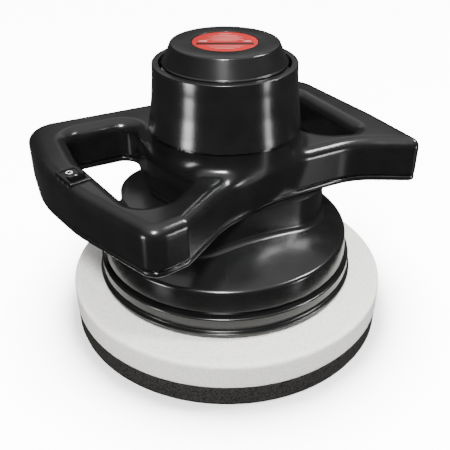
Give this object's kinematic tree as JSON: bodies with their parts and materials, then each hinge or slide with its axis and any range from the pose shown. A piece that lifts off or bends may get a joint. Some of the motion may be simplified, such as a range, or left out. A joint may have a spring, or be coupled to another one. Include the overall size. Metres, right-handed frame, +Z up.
{
  "type": "orbital polisher",
  "caption": "Hand-held orbital car polisher with a round motor housing between two D handles over a wide foam pad, and a rocker switch in one grip.",
  "frame": {"origin": "centre of the foam pad's flat underside, where the machine stands; the motor axis is 3 mm behind it (+Y)", "axes": "+X along the line of the two handles, the switch handle on the -X side; +Y towards the back, where the cord enters; +Z up the motor axis"},
  "size_m": [0.2622, 0.242, 0.2136],
  "materials": {
    "black_plastic": "glossy",
    "switch_plastic": "satin",
    "label_red": "satin",
    "white_foam": "open-cell foam",
    "dark_foam": "open-cell foam",
    "plate_plastic": "matte",
    "gland_rubber": "matte",
    "bearing_steel": "polished",
    "shaft_steel": "ground",
    "screw_steel": "zinc plated",
    "core_steel": "laminated",
    "copper": "enamelled copper",
    "carbon": "matte carbon",
    "brass": "satin",
    "spring_steel": "bright",
    "cast_weight": "cast",
    "bracket_aluminium": "die cast",
    "capacitor_case": "satin",
    "lead_brown": "satin",
    "lead_blue": "satin"
  },
  "bodies": {
    "housing": {"base_housing": "black_plastic", "brush_holder_back": "brass", "brush_holder_front": "brass", "brush_spring_back": "spring_steel", "brush_spring_front": "spring_steel", "cap_screw": "screw_steel", "carbon_brush_back": "carbon", "carbon_brush_front": "carbon", "cord_clamp": "plate_plastic", "cord_clamp_screws": "screw_steel", "cord_gland": "gland_rubber", "field_coil_left": "copper", "field_coil_right": "copper", "handle_lower_shell": "black_plastic", "handle_screws": "screw_steel", "handle_upper_shell": "black_plastic", "label_disc": "label_red", "lower_bearing_balls": "bearing_steel", "lower_bearing_outer_race": "bearing_steel", "lower_bracket_screws": "screw_steel", "lower_motor_bracket": "bracket_aluminium", "motor_housing": "black_plastic", "skirt_ring": "black_plastic", "stator_core": "core_steel", "suppression_capacitor": "capacitor_case", "switch_body": "switch_plastic", "switch_lead_blue": "lead_blue", "switch_lead_brown": "lead_brown", "switch_terminals": "brass", "terminal_block": "plate_plastic", "tie_screws": "screw_steel", "top_cap": "black_plastic", "upper_bearing_balls": "bearing_steel", "upper_bearing_outer_race": "bearing_steel", "upper_bracket_screws": "screw_steel", "upper_motor_bracket": "bracket_aluminium"},
    "rotor": {"armature_core": "core_steel", "armature_windings": "copper", "commutator": "copper", "cooling_fan": "plate_plastic", "counterweight": "cast_weight", "counterweight_grub_screw": "screw_steel", "motor_shaft": "shaft_steel", "lower_bearing_inner_race": "bearing_steel", "upper_bearing_inner_race": "bearing_steel", "pad_bearing_outer_race": "bearing_steel", "pad_bearing_balls": "bearing_steel"},
    "pad": {"foam_pad_lower": "dark_foam", "foam_pad_upper": "white_foam", "backing_plate": "plate_plastic", "pad_spindle": "shaft_steel", "spindle_screws": "screw_steel", "spindle_circlip": "shaft_steel", "pad_bearing_inner_race": "bearing_steel"},
    "rocker": {"rocker_button": "switch_plastic"}
  },
  "joints": [
    {"name": "motor_spin", "type": "hinge", "parent": "housing", "child": "rotor", "pos_m": [0, 0.003, 0.12], "axis": [0, 0, 1], "continuous": true},
    {"name": "pad_spin", "type": "hinge", "parent": "rotor", "child": "pad", "pos_m": [0, 0, 0.055], "axis": [0, 0, 1], "continuous": true},
    {"name": "switch_rocker", "type": "hinge", "parent": "housing", "child": "rocker", "pos_m": [-0.1135, 0.0005, 0.1375], "axis": [0.9781, 0.2079, 0], "range_deg": [0, 22]}
  ]
}
